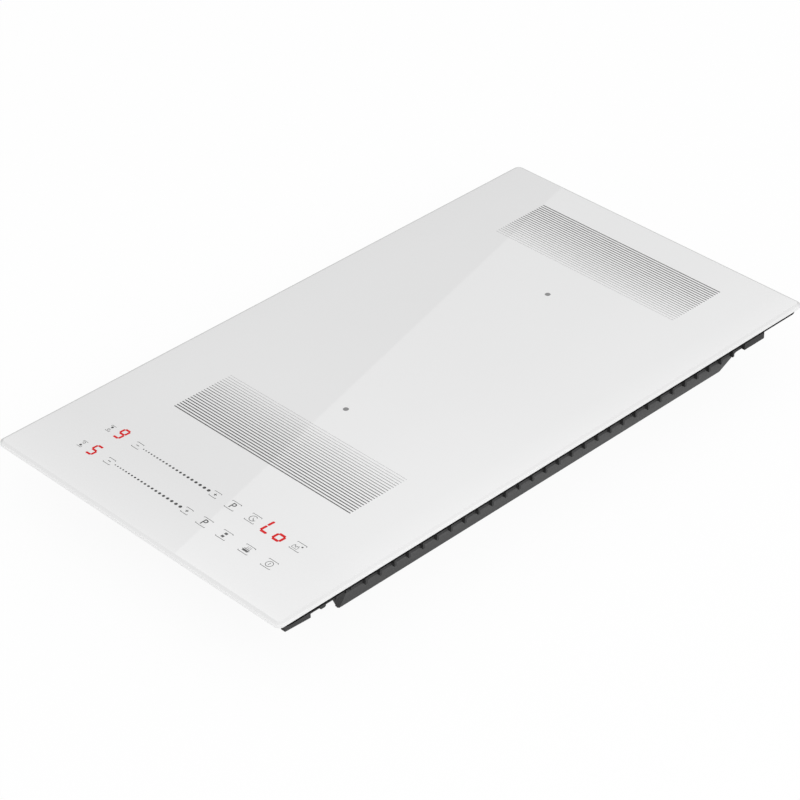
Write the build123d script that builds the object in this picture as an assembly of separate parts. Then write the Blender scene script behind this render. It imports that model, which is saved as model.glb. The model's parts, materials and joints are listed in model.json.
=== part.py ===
from build123d import *

import os
from math import atan, cos, radians, sin, sqrt

# Glass plate
glass_width = 288.0
glass_depth = 520.0
glass_thickness = 4.0
glass_corner = 4.5
bevel_width = 2.2
bevel_height = 1.0

# Foam seal that rests on the worktop
seal_inset = 0.6
seal_end_inset = 3.0
seal_thickness = 2.0
seal_corner = 8.0
seal_gap = 0.8

# Moulded tray
wall = 2.5
side_inset = 15.0
front_inset = 20.0
rear_inset = 29.0
tray_corner = 6.0
front_shelf = 51.0
rear_shelf = 28.0
pan_depth = 25.4
pan_lean = 15.2
pan_flare = 1.1
pan_chamfer = 1.2
pan_rake = 7.0
corner_reach = 7.0
corner_turn = 8.0
outlet_setback = 8.0
outlet_round = 6.0
fin_reach = 4.0
fin_thickness = 1.8
fin_pitch = 13.2
fin_start = 39.6
front_fin_lift = 3.0
knob_start = 25.3
knob_length = 5.2
knob_lift = 2.6
knob_cut = 0.9
front_tab_length = 22.4
front_tab_overhang = 5.5
front_tab_lift = 2.4
front_tab_slope = 1.3
rear_tab_length = 22.0
boss_radius = 3.5

# Air slots in the tray
slot_width = 3.0
slot_pitch = 7.0
slot_margin = 5.0
outlet_span = 180.0
rear_slot_span = 60.0
floor_slot_length = 46.0
grille_slot = 3.6
grille_bar = 2.6
grille_spine = 6.0

# Coil deck and the two coils, stacked up to the glass
deck_thickness = 1.5
deck_lap = 8.0
deck_side_gap = 3.0
coil_gap = 5.6
former_thickness = 2.0
winding_thickness = 5.0
sheet_thickness = 2.0
front_zone_setback = 124.0
rear_zone_setback = 65.0
coil_radius = 72.0
coil_eye = 22.0
coil_side_count = 36
former_rim = 2.0
ferrite_count = 8
ferrite_length = 38.0
ferrite_width = 12.0
ferrite_thickness = 4.0
pad_radius = 5.0
pad_ring = 65.0
sensor_radius = 7.0
deck_eye = 12.0

# Circuit boards
board_thickness = 1.6
standoff_height = 5.0
power_width = 124.0
power_length = 215.0
power_gap = 8.5
power_edge = 7.0
filter_width = 80.0
filter_length = 90.0
filter_gap = 15.0
filter_edge = 6.0
board_side_gap = 4.0

# Parts on the boards
transistor_thickness = 5.0
transistor_width = 16.0
transistor_length = 21.0
transistor_pitch = 30.0
rectifier_width = 30.0
rectifier_length = 20.0
sink_width = 62.0
sink_length = 160.0
sink_base = 3.5
sink_fin = 1.6
sink_fin_count = 9
sink_headroom = 3.0
film_length = 26.0
film_width = 12.0
film_height = 14.0
film_pitch = 20.0
film_gap = 5.0
film_count = 4
bus_length = 42.0
bus_width = 20.0
bus_height = 14.0
post_radius = 4.0
post_height = 8.0
choke_radius = 16.0
choke_eye = 7.0
choke_height = 11.0
ring_side_count = 16
case_chamfer = 1.5
fuse_length = 22.0
fuse_radius = 3.0
filter_part_setback = 55.0
choke_setback = 25.0
fuse_setback = 14.0

# Cooling fan
fan_size = 80.0
fan_height = 15.0
fan_side_gap = 4.0
fan_rear_gap = 6.0
fan_corner = 4.0
fan_bore = 38.0
fan_hole_pitch = 71.5
blade_count = 9
blade_clearance = 1.2
blade_tip_room = 1.6
blade_thickness = 1.6
blade_chord = 17.0
blade_camber = 0.1
blade_angle = 35.0
hub_radius = 14.0
hub_wall = 1.2
hub_gap = 1.0
fan_plate = 2.0
fan_strut = 3.0
shaft_radius = 1.5
shaft_clearance = 0.05
bearing_wall = 2.0
stator_gap = 1.0

# Touch control
key_row_setback = 18.2
key_row_spacing = 25.2
key_pitch = 20.2
key_first = -69.1
key_count = 9
key_radius = 4.5
key_wall = 0.8
key_height = 8.0
control_edge = 3.2
control_back_keys = (1, 5)
control_lap = 6.0
carrier_plate = 2.0
carrier_gap = 1.5
display_width = 9.0
display_length = 13.0
display_height = 7.0
display_spacing = 17.9
timer_width = 24.0
timer_key = 7
buzzer_radius = 6.0
buzzer_height = 6.0

# Mains connection in the rear wall
terminal_width = 50.0
terminal_length = 18.0
terminal_height = 15.0
terminal_setback = 24.0
terminal_poles = 5
hatch_width = 54.0
hatch_sill = 7.0
hatch_head = 4.0
cover_lap = 1.5
cover_thickness = 2.0
cover_gap = 0.3
hinge_radius = 2.0
hinge_cut = 1.2
hinge_pin = 1.0
hinge_pin_clearance = 0.1
hinge_length = 12.0
hinge_ear = 4.0
gland_bore = 5.0
gland_wall = 2.0
gland_flange = 2.0
gland_flange_reach = 2.0
gland_gap = 2.5

# Worktop clamps
clamp_inset = 15.0
clamp_front_setback = 20.5
clamp_rear_setback = 13.0
clamp_width = 16.0
clamp_thickness = 2.0
clamp_drop = 12.0
clamp_leg = 16.0
clamp_reach = 34.0
clamp_bend = 1.0
clamp_gap = 0.3
clamp_hole = 2.4

# Brackets that tie the glass to the tray
bracket_width = 8.0
bracket_leg = 12.0
bracket_thickness = 1.5
bracket_corner_gap = 1.5

# Fasteners
screw_radius = 1.5
screw_head = 2.5
screw_head_height = 2.0
clamp_screw_radius = 2.0
clamp_screw_head = 3.5
clamp_screw_head_height = 2.6
screw_clearance = 0.1
screw_bite = 8.0
screw_end_gap = 0.8
pilot_skin = 0.5

# Heights, from the underside of the tray upwards
z_floor = wall
z_shelf = pan_depth
z_shelf_top = z_shelf + wall
z_deck = z_shelf_top + deck_thickness
z_former = z_deck + coil_gap
z_winding = z_former + former_thickness
z_sheet = z_winding + winding_thickness
z_glass = z_sheet + sheet_thickness
z_top = z_glass + glass_thickness
z_board = z_floor + standoff_height
z_board_top = z_board + board_thickness

# Places across the object, front at minus Y
x_wall = glass_width / 2 - side_inset
x_fin = x_wall + fin_reach
y_front = -glass_depth / 2 + front_inset
y_rear = glass_depth / 2 - rear_inset
y_pan_front = y_front + front_shelf
y_pan_rear = y_rear - rear_shelf
y_outlet = y_pan_front + outlet_setback
y_cavity_front = y_outlet + wall
y_cavity_rear = y_pan_rear - wall
lean_angle = atan(pan_lean / pan_depth)
cheek = wall / cos(lean_angle)
x_floor = x_wall - pan_lean * (z_shelf - z_floor) / pan_depth - cheek
zone_places = {"front": y_pan_front + front_zone_setback, "rear": y_pan_rear - rear_zone_setback}

# Clamps, and the control board that fits between the front pair
x_clamp = x_wall - clamp_inset
control_width = 2 * (x_clamp - boss_radius - carrier_gap)
key_row_front = y_front + key_row_setback
key_row_rear = key_row_front + key_row_spacing
x_display = key_first - display_spacing
x_timer = key_first + timer_key * key_pitch

# Mains connection, beside the rear right clamp, and the fan on the other side
gland_reach = gland_bore + gland_wall + gland_flange_reach
x_gland = x_clamp - clamp_reach - gland_gap - gland_reach
x_terminal = x_gland - gland_reach - gland_gap - cover_lap - hatch_width / 2
y_terminal = y_cavity_rear - terminal_setback - terminal_length / 2
x_fan = -x_floor + fan_side_gap + fan_size / 2
y_fan = y_cavity_rear - fan_rear_gap - fan_size / 2

# Boards: power along the left cheek, filter in front of the terminals
x_power = -x_floor + board_side_gap
y_power = y_cavity_front + power_gap
power_middle = y_power + power_length / 2
x_filter = x_floor - board_side_gap - filter_width
y_filter = y_terminal - terminal_length / 2 - filter_gap - filter_length
x_sink = x_power + 2 * power_edge + sink_width / 2
x_film = x_power + power_width - 2 * power_edge - film_length / 2


def block(x0, x1, y0, y1, z0, z1):
    middle = Pos((x0 + x1) / 2, (y0 + y1) / 2, (z0 + z1) / 2)
    return middle * Box(x1 - x0, y1 - y0, z1 - z0)


def disc(x, y, z0, z1, radius):
    return Pos(x, y, (z0 + z1) / 2) * Cylinder(radius, z1 - z0)


def rod(x, y, z0, z1, radius, sides=6):
    # A prism about a circle of this radius: small fasteners and their holes lie on the same flats.
    section = RegularPolygon(radius, sides, major_radius=False)
    return extrude(Pos(x, y, z0) * section, amount=z1 - z0)


def plate(sketch, z0, z1):
    return extrude(Pos(0, 0, z0) * sketch, amount=z1 - z0)


def along(profile, y0, y1):
    # Extrudes a profile drawn in X and Z between two depths.
    return extrude(Plane(origin=(0, y1, 0), x_dir=(1, 0, 0), z_dir=(0, -1, 0)) * profile, amount=y1 - y0)


def across(profile, x0, x1):
    # Extrudes a profile drawn in Y and Z between two sides.
    return extrude(Plane(origin=(x0, 0, 0), x_dir=(0, 1, 0), z_dir=(1, 0, 0)) * profile, amount=x1 - x0)


def chamfered(x, y, width, length, cut):
    sheet = Rectangle(width, length)
    return Pos(x, y) * chamfer(sheet.vertices(), cut)


def outline(*points):
    return make_face(Polyline(*points, close=True))


def save(name, *solids):
    shape = solids[0] if len(solids) == 1 else Compound(list(solids))
    export_step(shape, os.path.join("parts", name + ".step"))


def screw(length, radius=screw_radius, head=screw_head, head_height=screw_head_height):
    # Hexagon head above the origin, shank below it.
    return rod(0, 0, 0, head_height, head) + rod(0, 0, -length, 0, radius)


def pan_half_width(z):
    return x_wall + pan_flare - pan_lean * (z_shelf - z) / pan_depth


def glass_panel():
    full = RectangleRounded(glass_width, glass_depth, glass_corner)
    ground_width = glass_width - 2 * bevel_width
    ground_depth = glass_depth - 2 * bevel_width
    ground = RectangleRounded(ground_width, ground_depth, glass_corner - bevel_width)
    z_bevel = z_top - bevel_height
    bevel = loft([Pos(0, 0, z_bevel) * full, Pos(0, 0, z_top) * ground], ruled=True)
    return plate(full, z_glass, z_bevel) + bevel


def perimeter_seal():
    seal_width = side_inset - fin_reach - seal_gap - seal_inset
    outer_x = glass_width / 2 - seal_inset
    outer_y = glass_depth / 2 - seal_end_inset
    inner_x = outer_x - seal_width
    inner_y = outer_y - seal_width
    full = RectangleRounded(2 * outer_x, 2 * outer_y, seal_corner)
    strips = []
    for side in (-1, 1):
        middle = side * (outer_x + inner_x) / 2
        strips.append(full & Pos(middle, 0) * Rectangle(seal_width, 2 * outer_y))
    for side in (-1, 1):
        middle = side * (outer_y + inner_y) / 2
        strips.append(Pos(0, middle) * Rectangle(2 * inner_x, seal_width))
    return [plate(strip, z_glass - seal_thickness, z_glass) for strip in strips]


def near(value, target):
    return abs(value - target) < wall / 10


def cheek_corner(z):
    # Section of the turned-in front end of the right cheek: it narrows towards the foot.
    size = (z + wall) / (z_shelf + wall)
    x = pan_half_width(z)
    y = y_pan_front + pan_rake * (z_shelf - z) / pan_depth
    tip_x = x - corner_turn * size
    tip_y = y - corner_reach * size
    back = (x - cheek * size, y + wall * size)
    return Pos(0, 0, z) * outline((x, y), (tip_x, tip_y), (tip_x - cheek * size, tip_y), back)


def tray_pan():
    foot = pan_half_width(0)
    brim = pan_half_width(z_shelf)
    section = outline((-brim, z_shelf), (-foot, 0), (foot, 0), (brim, z_shelf))
    section = chamfer(section.vertices().group_by(Axis.Y)[0], pan_chamfer)
    below = pan_half_width(-wall) - pan_flare - cheek
    inside = x_wall - cheek
    recess = outline((-inside, z_shelf), (-below, -wall), (below, -wall), (inside, z_shelf))
    pan = along(section, y_pan_front, y_pan_rear) - along(recess, y_pan_front - wall, y_outlet)
    bottom = [edge for edge in pan.edges().filter_by(Axis.X) if near(edge.center().Z, 0)]
    pan = fillet([edge for edge in bottom if near(edge.center().Y, y_outlet)], outlet_round)
    ahead = y_pan_front - wall
    rake = outline((ahead, z_shelf), (y_pan_front, z_shelf), (y_pan_front + pan_rake, 0), (ahead, 0))
    pan = pan - across(rake, -x_fin, x_fin)
    corner = loft([cheek_corner(pan_chamfer), cheek_corner(z_shelf)], ruled=True)
    return pan + corner + mirror(corner, about=Plane.YZ)


def tray_cavity():
    inside = x_wall - cheek
    section = outline(
        (-inside, z_shelf_top),
        (-inside, z_shelf),
        (-x_floor, z_floor),
        (x_floor, z_floor),
        (inside, z_shelf),
        (inside, z_shelf_top),
    )
    cavity = along(section, y_cavity_front, y_cavity_rear)
    bottom = [edge for edge in cavity.edges().filter_by(Axis.X) if near(edge.center().Z, z_floor)]
    return fillet([edge for edge in bottom if near(edge.center().Y, y_cavity_front)], outlet_round - wall)


def tray_fins():
    rear_tab = y_rear - rear_tab_length
    first = y_front + fin_start
    count = int((rear_tab - fin_thickness - first) / fin_pitch) + 1
    knob_y = y_front + knob_start
    knob_end = knob_y + knob_length
    knob_z = z_shelf + knob_lift
    knob_section = outline(
        (knob_y, z_glass),
        (knob_y, knob_z + knob_cut),
        (knob_y + knob_cut, knob_z),
        (knob_end - knob_cut, knob_z),
        (knob_end, knob_z + knob_cut),
        (knob_end, z_glass),
    )
    tab_y = y_front - front_tab_overhang
    tab_end = tab_y + front_tab_length
    tab_z = z_shelf + front_tab_lift
    tab_section = outline(
        (tab_y, z_glass), (tab_y, tab_z), (tab_end, tab_z - front_tab_slope), (tab_end, z_glass)
    )
    shapes = []
    for side in (-1, 1):
        inner = side * (x_wall - wall / 2)
        outer = side * x_fin
        low_x, high_x = sorted((inner, outer))
        for index in range(count):
            y = first + index * fin_pitch
            lift = front_fin_lift if y < y_outlet else 0.0
            shapes.append(block(low_x, high_x, y, y + fin_thickness, z_shelf + lift, z_glass))
        shapes.append(across(knob_section, low_x, high_x))
        web_x = sorted((inner, side * pan_half_width(z_shelf)))
        shapes.append(block(*web_x, y_pan_front, rear_tab, z_shelf, z_glass))
        shapes.append(block(low_x, high_x, rear_tab, y_rear - tray_corner, z_shelf, z_glass))
        tab_x = sorted((side * x_wall, outer))
        shapes.append(across(tab_section, *tab_x))
        shapes.append(block(*tab_x, y_rear - tray_corner, y_rear, z_shelf, z_glass))
    return shapes


def slot_row(span, pitch):
    count = int(span / pitch)
    return [(index - (count - 1) / 2) * pitch for index in range(count)]


def tray_slots():
    cuts = []
    half = slot_width / 2
    low = z_floor + slot_margin
    high = z_shelf - slot_margin
    for x in slot_row(outlet_span, slot_pitch):
        cuts.append(block(x - half, x + half, y_outlet - wall, y_cavity_front + wall, low, high))
    for offset in slot_row(rear_slot_span, slot_pitch):
        x = x_fan + offset
        cuts.append(block(x - half, x + half, y_cavity_rear - wall, y_pan_rear + wall, low, high))
    between_bosses = power_width - 2 * (power_edge + boss_radius + slot_margin)
    for row in range(2):
        start = y_power + standoff_height + slot_pitch + row * (floor_slot_length + slot_pitch)
        for offset in slot_row(between_bosses, 2 * slot_pitch):
            x = x_power + power_width / 2 + offset
            cuts.append(block(x - half, x + half, start, start + floor_slot_length, -wall, 2 * wall))
    return cuts


def fan_grille():
    # Slots of a round inlet: each is as long as the circle is wide there.
    cuts = []
    for offset in slot_row(2 * fan_bore, grille_slot + grille_bar):
        far_edge = abs(offset) + grille_slot / 2
        half = sqrt(max(fan_bore**2 - far_edge**2, 0))
        y0 = y_fan + offset - grille_slot / 2
        if half > 2 * grille_spine:
            cuts.append(block(x_fan - half, x_fan - grille_spine / 2, y0, y0 + grille_slot, -wall, 2 * wall))
            cuts.append(block(x_fan + grille_spine / 2, x_fan + half, y0, y0 + grille_slot, -wall, 2 * wall))
    return cuts


def power_holes():
    xs = (x_power + power_edge, x_power + power_width - power_edge)
    ys = (y_power + power_edge, power_middle, y_power + power_length - power_edge)
    return [(x, y) for x in xs for y in ys]


def filter_holes():
    xs = (x_filter + filter_edge, x_filter + filter_width - filter_edge)
    ys = (y_filter + filter_edge, y_filter + filter_length - filter_edge)
    return [(x, y) for x in xs for y in ys]


def fan_holes():
    reach = fan_hole_pitch / 2
    return [(x_fan + sx * reach, y_fan + sy * reach) for sx in (-1, 1) for sy in (-1, 1)]


def clamp_places():
    front_y = y_front + clamp_front_setback
    rear_y = y_rear - clamp_rear_setback
    return {
        "front_left": (-x_clamp, front_y, 0),
        "front_right": (x_clamp, front_y, 180),
        "rear_left": (-x_clamp, rear_y, 0),
        "rear_right": (x_clamp, rear_y, 180),
    }


def control_rear():
    return y_cavity_front - deck_lap - carrier_gap


def control_front():
    return y_front + wall + bracket_thickness + carrier_gap


def control_holes():
    # Two near the front corners, two at the back between keys.
    x = control_width / 2 - control_edge
    front = control_front() + control_edge
    back = control_rear() - control_edge
    backs = [(key_first + (index + 0.5) * key_pitch, back) for index in control_back_keys]
    return [(-x, front), (x, front)] + backs


def deck_holes():
    x = x_wall - wall - deck_side_gap - 2 * boss_radius
    near = y_cavity_front - deck_lap / 2
    far = y_cavity_rear + deck_lap / 2
    return [(side * x, y) for side in (-1, 1) for y in (near, far)]


def bracket_places():
    x = x_wall - tray_corner - bracket_corner_gap - bracket_width / 2
    return [(side * x, end) for side in (-1, 1) for end in (-1, 1)]


def bracket_screw_height():
    return z_glass - bracket_thickness - bracket_leg / 2


def hatch_limits():
    return z_floor + hatch_sill, z_shelf - hatch_head


def hinge_place():
    y = y_pan_rear + cover_gap + cover_thickness + hinge_radius / 2
    z = hatch_limits()[0] - cover_lap - hinge_radius
    return y, z


def hinge_middles():
    return [x_terminal + side * hatch_width / 3 for side in (-1, 1)]


def base_tray():
    length = y_rear - y_front
    middle = (y_front + y_rear) / 2
    outer = Pos(0, middle) * RectangleRounded(2 * x_wall, length, tray_corner)
    inner = chamfered(0, middle, 2 * (x_wall - wall), length - 2 * wall, tray_corner - wall)
    tray = plate(outer, z_shelf, z_glass) + tray_pan()
    tray = tray + tray_fins()
    tray = tray - [plate(inner, z_shelf_top, z_glass), tray_cavity()]

    # Screw bosses, each with its pilot hole
    pilot = screw_radius + screw_clearance
    bosses = []
    holes = []
    for x, y in power_holes() + filter_holes():
        bosses.append(rod(x, y, z_floor, z_board, boss_radius))
        holes.append(rod(x, y, z_floor, z_board, pilot))
    for x, y in fan_holes():
        holes.append(rod(x, y, pilot_skin, z_floor, pilot))
    for x, y, turn in clamp_places().values():
        top = z_shelf_top + screw_bite
        bosses.append(rod(x, y, z_shelf_top, top, boss_radius))
        holes.append(rod(x, y, z_shelf, top, clamp_screw_radius + screw_clearance))
    for x, y in control_holes() + deck_holes():
        holes.append(rod(x, y, z_shelf + pilot_skin, z_shelf_top, pilot))
    for x, end in bracket_places():
        y = y_front if end < 0 else y_rear
        place = Pos(x, y, bracket_screw_height()) * Rot(90, 0, 0)
        holes.append(place * rod(0, 0, -2 * wall, 2 * wall, pilot))
    tray = (tray + bosses) - holes

    # Hatch, hinge ears and cable hole in the rear wall
    hinge_y, hinge_z = hinge_place()
    ear_middle = hinge_length / 2 + cover_gap + hinge_ear / 2
    ear_root = y_pan_rear - wall / 2
    ear_end = hinge_y + hinge_radius
    ear = chamfered((ear_root + ear_end) / 2, hinge_z, ear_end - ear_root, 2 * hinge_radius, hinge_cut)
    for middle in hinge_middles():
        for x in (middle - ear_middle, middle + ear_middle):
            tray = tray + across(ear, x - hinge_ear / 2, x + hinge_ear / 2)
    pin_hole = Pos(x_terminal - hatch_width, hinge_y, hinge_z) * Rot(0, 90, 0)
    pin_hole = pin_hole * rod(0, 0, 0, 2 * hatch_width, hinge_pin + hinge_pin_clearance / 2)
    x0 = x_terminal - hatch_width / 2
    x1 = x_terminal + hatch_width / 2
    hatch = block(x0, x1, y_cavity_rear - wall, y_pan_rear + cover_gap / 2, *hatch_limits())
    gland = Pos(x_gland, y_pan_rear - wall / 2, gland_height()) * Rot(90, 0, 0)
    gland = gland * rod(0, 0, -2 * wall, 2 * wall, gland_bore + gland_wall + screw_clearance, 12)
    return tray - ([pin_hole, hatch, gland] + fan_grille() + tray_slots())


def gland_height():
    return (z_floor + z_shelf) / 2


def glass_brackets():
    brackets = []
    for x, end in bracket_places():
        face = (y_front + wall) if end < 0 else (y_rear - wall)
        inward = -end
        leg_y = sorted((face, face + inward * bracket_leg))
        stem_y = sorted((face, face + inward * bracket_thickness))
        x0 = x - bracket_width / 2
        x1 = x + bracket_width / 2
        leg = block(x0, x1, *leg_y, z_glass - bracket_thickness, z_glass)
        stem = block(x0, x1, *stem_y, z_glass - bracket_thickness - bracket_leg, z_glass)
        hole = Pos(x, face, bracket_screw_height()) * Rot(90, 0, 0)
        reach = 2 * bracket_thickness
        brackets.append(leg + stem - hole * rod(0, 0, -reach, reach, screw_radius + screw_clearance))
    return brackets


def bracket_screws():
    screws = []
    for x, end in bracket_places():
        y = y_front if end < 0 else y_rear
        turn = 90 if end < 0 else -90
        screws.append(Pos(x, y, bracket_screw_height()) * Rot(turn, 0, 0) * screw(wall + bracket_thickness))
    return screws


def coil_deck():
    x = x_wall - wall - deck_side_gap
    y0 = y_cavity_front - deck_lap
    y1 = y_cavity_rear + deck_lap
    sheet = chamfered(0, (y0 + y1) / 2, 2 * x, y1 - y0, tray_corner)
    deck = plate(sheet, z_shelf_top, z_deck)
    hole_radius = screw_radius + screw_clearance
    cuts = [rod(px, py, z_shelf_top, z_deck, hole_radius) for px, py in deck_holes()]
    for y in zone_places.values():
        cuts.append(rod(0, y, z_shelf_top, z_deck, deck_eye))
        lead_x = coil_radius + former_rim + slot_pitch
        lead_y = 2 * slot_pitch
        cuts.append(block(lead_x - slot_pitch, lead_x, y - lead_y, y + lead_y, z_shelf_top, z_deck))
    return deck - cuts


def coil_ring(y, z0, z1, outer, inner):
    return rod(0, y, z0, z1, outer, coil_side_count) - rod(0, y, z0, z1, inner)


def coil_former(y):
    # A plate with a low rim round the winding.
    outer = coil_radius + former_rim
    former = coil_ring(y, z_former, z_sheet, outer, sensor_radius + screw_clearance)
    return former - rod(0, y, z_winding, z_sheet, coil_radius, coil_side_count)


def coil_winding(y):
    ring = rod(0, y, z_winding, z_sheet, coil_radius, coil_side_count)
    return ring - rod(0, y, z_winding, z_sheet, coil_eye, coil_side_count)


def coil_ferrites(y):
    bars = []
    middle = (coil_eye + pad_ring - pad_radius) / 2
    for index in range(ferrite_count):
        bar = Box(ferrite_length, ferrite_width, ferrite_thickness)
        turn = 360.0 * (index + 0.5) / ferrite_count
        place = Pos(0, y, z_former - ferrite_thickness / 2) * Rot(0, 0, turn)
        bars.append(place * Pos(middle, 0, 0) * bar)
    return bars


def coil_pads(y):
    pads = []
    for index in range(4):
        angle = radians(90.0 * index)
        pads.append(rod(pad_ring * cos(angle), y + pad_ring * sin(angle), z_deck, z_former, pad_radius))
    return pads


def coil_sheet(y):
    return coil_ring(y, z_sheet, z_glass, coil_radius + former_rim, sensor_radius + screw_clearance)


def coil_sensor(y):
    z0 = z_former - ferrite_thickness
    return rod(0, y, z0, z_glass, sensor_radius) + rod(0, y, z0, z_former, sensor_radius + former_rim)


def board(x0, x1, y0, y1, z0, holes):
    sheet = block(x0, x1, y0, y1, z0, z0 + board_thickness)
    return sheet - [rod(x, y, z0, z0 + board_thickness, screw_radius + screw_clearance) for x, y in holes]


def power_board():
    x1 = x_power + power_width
    y1 = y_power + power_length
    return board(x_power, x1, y_power, y1, z_board, power_holes())


def filter_board():
    x1 = x_filter + filter_width
    y1 = y_filter + filter_length
    return board(x_filter, x1, y_filter, y1, z_board, filter_holes())


def board_screws():
    bite = board_thickness + standoff_height - screw_end_gap
    return [Pos(x, y, z_board_top) * screw(bite) for x, y in power_holes() + filter_holes()]


def heat_sink():
    # A comb profile drawn along Y, on two feet that stand on the board.
    z0 = z_board_top + transistor_thickness
    z1 = z_shelf_top - sink_headroom
    x0 = x_sink - sink_width / 2
    step = (sink_width - sink_fin) / (sink_fin_count - 1)
    comb = Pos(x_sink, z0 + sink_base / 2) * Rectangle(sink_width, sink_base)
    for index in range(sink_fin_count):
        comb = comb + Pos(x0 + index * step + sink_fin / 2, (z0 + z1) / 2) * Rectangle(sink_fin, z1 - z0)
    foot = Pos(x_sink, (z_board_top + z0) / 2) * Rectangle(sink_width, z0 - z_board_top)
    y0 = power_middle - sink_length / 2
    y1 = power_middle + sink_length / 2
    return along(comb, y0, y1) + [along(foot, y0, y0 + sink_fin), along(foot, y1 - sink_fin, y1)]


def transistor_places():
    start = power_middle - 1.5 * transistor_pitch - rectifier_length / 2
    return [(x_sink, start + index * transistor_pitch) for index in range(4)]


def power_transistors():
    half_x = transistor_width / 2
    half_y = transistor_length / 2
    z1 = z_board_top + transistor_thickness
    bodies = []
    for x, y in transistor_places():
        bodies.append(block(x - half_x, x + half_x, y - half_y, y + half_y, z_board_top, z1))
    return bodies


def bridge_rectifier():
    x, last = transistor_places()[-1]
    y = last + transistor_pitch - (transistor_length - rectifier_length) / 2
    half_x = rectifier_width / 2
    half_y = rectifier_length / 2
    z1 = z_board_top + transistor_thickness
    body = block(x - half_x, x + half_x, y - half_y, y + half_y, z_board_top, z1)
    edge = body.edges().filter_by(Axis.Z).sort_by(Axis.X)[0]
    return chamfer(edge, transistor_thickness / 2)


def rounded_case(x, y, length, width, height):
    x0 = x - length / 2
    y0 = y - width / 2
    case = block(x0, x0 + length, y0, y0 + width, z_board_top, z_board_top + height)
    return chamfer(case.edges().filter_by(Axis.Z), case_chamfer)


def film_places():
    start = power_middle - film_pitch * (film_count + 1) / 2
    return [start + index * film_pitch for index in range(film_count)]


def film_capacitors():
    return [rounded_case(x_film, y, film_length, film_width, film_height) for y in film_places()]


def bus_capacitor():
    y = film_places()[-1] + film_width / 2 + film_gap + bus_length / 2
    return rounded_case(x_film, y, bus_width, bus_length, bus_height)


def coil_posts():
    posts = []
    x = x_power + power_width - power_edge
    top = z_board_top + post_height
    for side in (-1, 1):
        for step in (-1, 1):
            y = power_middle + side * power_length / 4 + step * 2 * post_radius
            post = rod(x, y, z_board_top, top, post_radius)
            posts.append(post - rod(x, y, top - post_height / 2, top, screw_radius))
    return posts


def filter_choke():
    # A wound ring, drawn with flats instead of its many turns.
    x = x_filter + filter_width - choke_setback
    place = Pos(x, y_filter + filter_part_setback, z_board_top)
    ring = extrude(RegularPolygon(choke_radius, ring_side_count), amount=choke_height)
    rims = ring.edges().group_by(Axis.Z)[0] + ring.edges().group_by(Axis.Z)[-1]
    ring = chamfer(rims, choke_height / 4)
    return place * (ring - extrude(RegularPolygon(choke_eye, ring_side_count), amount=choke_height))


def line_fuse():
    x = x_filter + filter_width / 2
    y = y_filter + fuse_setback
    axis_z = z_board_top + fuse_radius + board_thickness
    fuse = Pos(x - fuse_length / 2, y, axis_z) * Rot(0, 90, 0) * rod(0, 0, 0, fuse_length, fuse_radius, 8)
    for side in (-1, 1):
        middle = x + side * (fuse_length / 2 - fuse_radius)
        x0 = middle - fuse_radius / 2
        x1 = middle + fuse_radius / 2
        fuse = fuse + block(x0, x1, y - fuse_radius, y + fuse_radius, z_board_top, axis_z)
    return fuse


def filter_capacitor():
    x = x_filter + choke_setback
    return rounded_case(x, y_filter + filter_part_setback, film_length, bus_width, film_height)


def fan_frame():
    z1 = z_floor + fan_height
    frame = plate(chamfered(x_fan, y_fan, fan_size, fan_size, fan_corner), z_floor, z1)
    frame = frame - disc(x_fan, y_fan, z_floor, z1, fan_bore)
    struts = []
    for angle in (45, 135):
        place = Pos(x_fan, y_fan, z1 - fan_plate / 2) * Rot(0, 0, angle)
        struts.append(place * Box(2 * (fan_bore + wall / 2), fan_strut, fan_plate))
    hub = rod(x_fan, y_fan, z1 - fan_plate, z1, hub_radius, ring_side_count)
    bearing = rod(x_fan, y_fan, bearing_floor(), z1 - fan_plate, bearing_radius(), 8)
    frame = frame + struts + [hub, bearing]
    bore = disc(x_fan, y_fan, bearing_floor(), z1 - fan_plate / 2, shaft_radius + shaft_clearance)
    holes = [rod(x, y, z_floor, z1, screw_radius + screw_clearance) for x, y in fan_holes()]
    return frame - (holes + [bore])


def bearing_radius():
    return shaft_radius + shaft_clearance + bearing_wall


def bearing_floor():
    return z_floor + 2 * hub_gap + hub_wall


def fan_stator():
    z1 = z_floor + fan_height - fan_plate
    outer = hub_radius - hub_wall - 2 * stator_gap
    ring = rod(x_fan, y_fan, bearing_floor() + hub_gap, z1, outer, ring_side_count)
    return ring - rod(x_fan, y_fan, bearing_floor() + hub_gap, z1, bearing_radius(), 8)


def fan_blade():
    # A bent section, set at the blade angle and drawn straight out from the hub.
    root = hub_radius - hub_wall / 2
    tip = fan_bore - blade_clearance - blade_tip_room
    half = blade_chord / 2
    bow = blade_chord * blade_camber
    edge = blade_thickness / 2
    bent = outline((-half, 0), (0, bow), (half, 0), (half, edge), (0, bow + 2 * edge), (-half, edge))
    section = Plane(origin=(root, 0, 0), x_dir=(0, 1, 0), z_dir=(1, 0, 0))
    return extrude(section * Rot(0, 0, blade_angle) * bent, amount=tip - root)


def fan_rotor():
    z0 = z_floor + hub_gap
    z1 = z_floor + fan_height - fan_plate - hub_gap
    hub = rod(0, 0, z0, z1, hub_radius, ring_side_count)
    hub = hub - rod(0, 0, z0 + hub_wall, z1, hub_radius - hub_wall, ring_side_count)
    blade = Pos(0, 0, (z0 + z1) / 2) * fan_blade()
    for index in range(blade_count):
        hub = hub + Rot(0, 0, 360.0 * index / blade_count) * blade
    shaft = disc(0, 0, z0, z1 + hub_gap, shaft_radius)
    return Pos(x_fan, y_fan, 0) * (hub + shaft)


def fan_screws():
    z1 = z_floor + fan_height
    length = fan_height + wall - pilot_skin - screw_end_gap
    return [Pos(x, y, z1) * screw(length) for x, y in fan_holes()]


def control_height():
    return z_glass - key_height - board_thickness


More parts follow.
